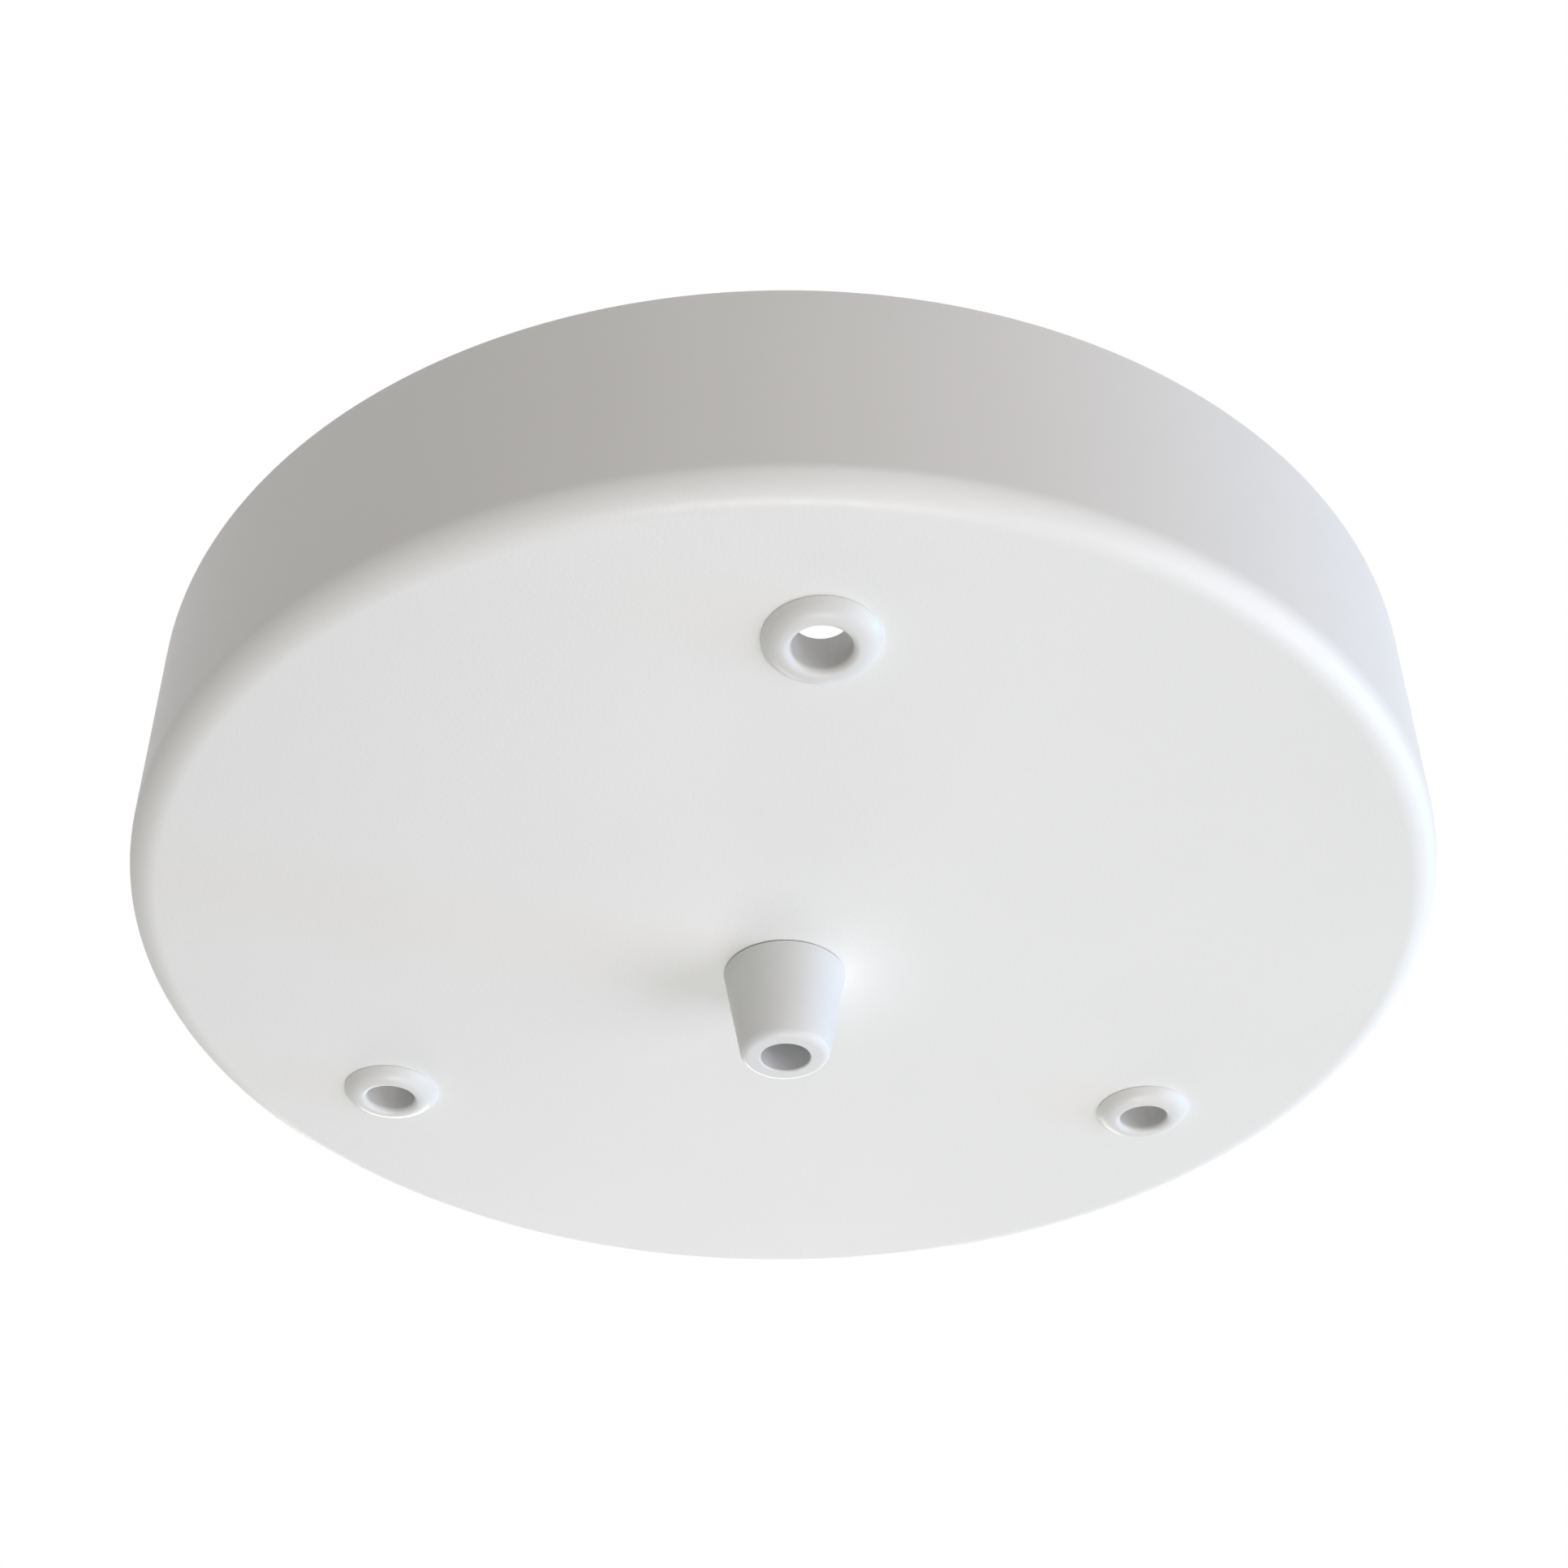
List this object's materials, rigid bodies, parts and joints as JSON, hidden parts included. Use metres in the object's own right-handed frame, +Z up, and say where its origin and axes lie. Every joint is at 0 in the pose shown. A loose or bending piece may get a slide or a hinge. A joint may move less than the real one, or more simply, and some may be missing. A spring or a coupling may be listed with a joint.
{
  "type": "ceiling rose",
  "caption": "Round steel ceiling rose with cable outlets, a screw-down cord grip, and a fixing strap and terminal block inside.",
  "frame": {"origin": "centre of the ceiling plane: the top of the strap and the rim of the cover, on the axis of the cord grip", "axes": "+Z up into the ceiling, the cover hangs towards -Z; X along the strap, from the terminal block to the earth screw; the front outlet is on -Y"},
  "size_m": [0.1638, 0.16, 0.0405],
  "materials": {
    "cover_paint": "white powder coat, satin, with a very fine texture",
    "grommet_plastic": "white moulded plastic, smooth",
    "grip_plastic": "white nylon, satin",
    "zinc_plate": "zinc-plated steel, dull",
    "spring_steel": "hardened steel, plated",
    "screw_steel": "bright zinc-plated steel",
    "brass_parts": "turned brass, dull",
    "terminal_moulding": "natural polyamide, slightly milky"
  },
  "bodies": {
    "rose": {"cover": "cover_paint", "cable_grommet_1": "grommet_plastic", "cable_grommet_2": "grommet_plastic", "cable_grommet_3": "grommet_plastic", "grip_stem": "grip_plastic", "grip_nut": "zinc_plate", "grip_lock_washer": "spring_steel", "strap": "zinc_plate", "side_screw_left": "screw_steel", "side_screw_right": "screw_steel", "earth_screw": "brass_parts", "earth_clamp": "brass_parts", "terminal_body": "terminal_moulding", "terminal_tube_1": "brass_parts", "terminal_tube_2": "brass_parts", "terminal_tube_3": "brass_parts", "terminal_screw_front_1": "screw_steel", "terminal_screw_front_2": "screw_steel", "terminal_screw_front_3": "screw_steel", "terminal_screw_back_1": "screw_steel", "terminal_screw_back_2": "screw_steel", "terminal_screw_back_3": "screw_steel", "terminal_fixing_screw_1": "screw_steel", "terminal_fixing_screw_2": "screw_steel"},
    "clamp_ring": {"grip_ring": "grip_plastic"},
    "screw_cap": {"grip_cap": "grip_plastic"}
  },
  "joints": [
    {"name": "clamp_ring_travel", "type": "slide", "parent": "rose", "child": "clamp_ring", "axis": [0, 0, -1], "range_m": [0, 0.0045]},
    {"name": "cap_unscrew", "type": "hinge", "parent": "clamp_ring", "child": "screw_cap", "pos_m": [0, 0, -0.0345], "axis": [0, 0, -1], "range_deg": [0, 1620]}
  ],
  "couplings": [
    {"joint": "cap_unscrew", "follows": "clamp_ring_travel", "rad_per_m": 6283.2}
  ]
}
